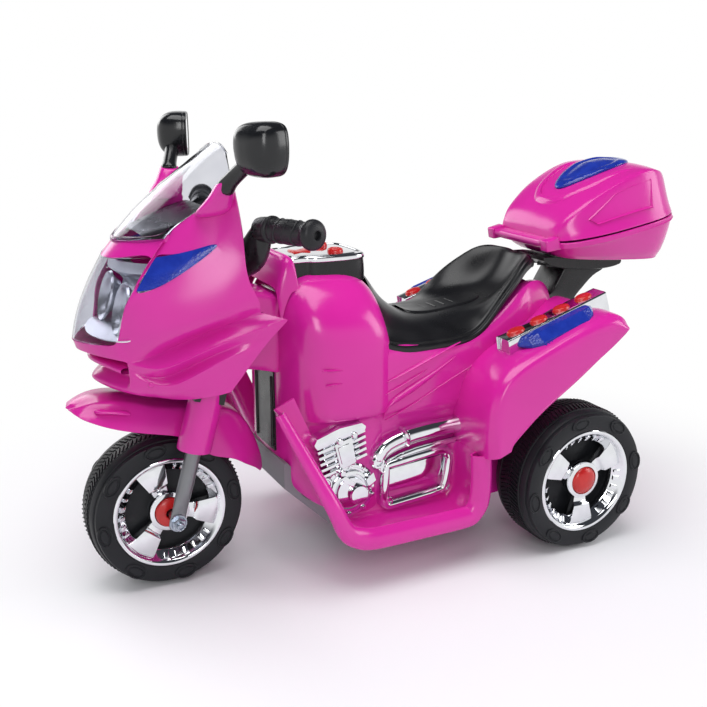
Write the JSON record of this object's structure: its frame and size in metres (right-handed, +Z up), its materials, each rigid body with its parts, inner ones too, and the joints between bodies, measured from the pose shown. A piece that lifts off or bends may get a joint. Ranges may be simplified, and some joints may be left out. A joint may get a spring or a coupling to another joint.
{
  "type": "kids electric motorbike",
  "caption": "Ride-on electric toy motorbike with a steered front wheel, wide rear wheels, moulded fairing, windscreen, saddle and a hinged top box.",
  "frame": {"origin": "middle of the footprint on the ground, halfway along the length", "axes": "+X forward, +Y to the rider's left, +Z up"},
  "size_m": [0.789, 0.365, 0.525],
  "materials": {
    "pink_plastic": "gloss",
    "black_plastic": "satin",
    "seat_plastic": "satin, moulded",
    "grey_plastic": "matte",
    "grip_rubber": "matte",
    "tyre_black": "matte",
    "chrome_plating": "mirror polish",
    "red_plastic": "gloss",
    "blue_lens": "gloss",
    "clear_plastic": "gloss",
    "steel": "zinc plated",
    "silver_paint": "satin",
    "mirror": "mirror",
    "nylon": "matte",
    "brass": "machined",
    "battery_case": "matte"
  },
  "bodies": {
    "chassis": {"body_left": "pink_plastic", "body_right": "pink_plastic", "steering_bushes": "nylon", "front_panel": "black_plastic", "belly_pan": "grey_plastic", "body_screws": "steel", "seat": "seat_plastic", "dash_base": "black_plastic", "dash_panel": "chrome_plating", "rear_mudguard_left": "pink_plastic", "rear_mudguard_right": "pink_plastic", "engine_trims": "chrome_plating", "exhaust_trims": "chrome_plating", "light_bars": "chrome_plating", "side_lenses": "blue_lens", "bar_lamps": "red_plastic", "box_base": "pink_plastic", "box_bracket": "black_plastic", "gearbox_case": "black_plastic", "motor": "steel", "rear_axle": "steel", "battery": "battery_case", "control_board": "black_plastic", "speaker": "black_plastic", "charge_socket": "black_plastic", "pedal_bracket": "black_plastic"},
    "steering": {"fork_legs": "silver_paint", "front_axle": "steel", "fork_crown": "black_plastic", "steering_column": "steel", "handlebar": "black_plastic", "grips": "grip_rubber", "fairing": "pink_plastic", "headlight_lens": "clear_plastic", "indicator_lenses": "blue_lens", "windscreen": "clear_plastic", "headlight_reflector": "chrome_plating", "headlight_lamps": "clear_plastic", "cockpit_panel": "black_plastic", "mirror_housings": "black_plastic", "mirror_glasses": "mirror", "front_mudguard": "pink_plastic"},
    "front_wheel": {"front_tyre": "tyre_black", "front_rims": "chrome_plating", "front_caps": "red_plastic"},
    "rear_left_wheel": {"rear_left_tyre": "tyre_black", "rear_left_rim": "chrome_plating", "rear_left_cap": "red_plastic"},
    "rear_right_wheel": {"rear_right_tyre": "tyre_black", "rear_right_rim": "chrome_plating", "rear_right_cap": "red_plastic", "drive_gear": "nylon"},
    "pinion": {"motor_pinion": "brass"},
    "lid": {"box_lid": "pink_plastic", "lid_lens": "blue_lens"},
    "horn": {"horn_button": "red_plastic"},
    "music": {"music_button": "red_plastic"},
    "rocker": {"drive_switch": "red_plastic"},
    "pedal": {"foot_pedal": "black_plastic"}
  },
  "joints": [
    {"name": "steering_turn", "type": "hinge", "parent": "chassis", "child": "steering", "pos_m": [0.2945, 0, 0.09], "axis": [-0.2756, 0, 0.9613], "range_deg": [-20, 20]},
    {"name": "front_wheel_spin", "type": "hinge", "parent": "steering", "child": "front_wheel", "pos_m": [0.2945, 0, 0.09], "axis": [0, 1, 0], "continuous": true},
    {"name": "rear_left_spin", "type": "hinge", "parent": "chassis", "child": "rear_left_wheel", "pos_m": [-0.1815, 0.138, 0.09], "axis": [0, 1, 0], "continuous": true},
    {"name": "rear_right_spin", "type": "hinge", "parent": "chassis", "child": "rear_right_wheel", "pos_m": [-0.1815, -0.138, 0.09], "axis": [0, 1, 0], "continuous": true},
    {"name": "pinion_spin", "type": "hinge", "parent": "chassis", "child": "pinion", "pos_m": [-0.149, -0.024, 0.09], "axis": [0, 1, 0], "continuous": true},
    {"name": "lid_hinge", "type": "hinge", "parent": "chassis", "child": "lid", "pos_m": [-0.1945, 0, 0.362], "axis": [0, 1, 0], "range_deg": [0, 75]},
    {"name": "horn_press", "type": "slide", "parent": "chassis", "child": "horn", "axis": [0, 0, -1], "range_m": [0, 0.002], "stiffness_N_per_m": 200, "springref_m": -0.002},
    {"name": "music_press", "type": "slide", "parent": "chassis", "child": "music", "axis": [0, 0, -1], "range_m": [0, 0.002], "stiffness_N_per_m": 200, "springref_m": -0.002},
    {"name": "rocker_tilt", "type": "hinge", "parent": "chassis", "child": "rocker", "pos_m": [0.1185, 0, 0.367], "axis": [0, 1, 0], "range_deg": [-10, 10]},
    {"name": "pedal_press", "type": "hinge", "parent": "chassis", "child": "pedal", "pos_m": [0.0085, -0.12, 0.069], "axis": [0, 1, 0], "range_deg": [0, 7], "stiffness_Nm_per_rad": 0.5, "springref_deg": -5.73}
  ],
  "couplings": [
    {"joint": "pinion_spin", "follows": "rear_right_spin", "ratio": -3.3333}
  ]
}
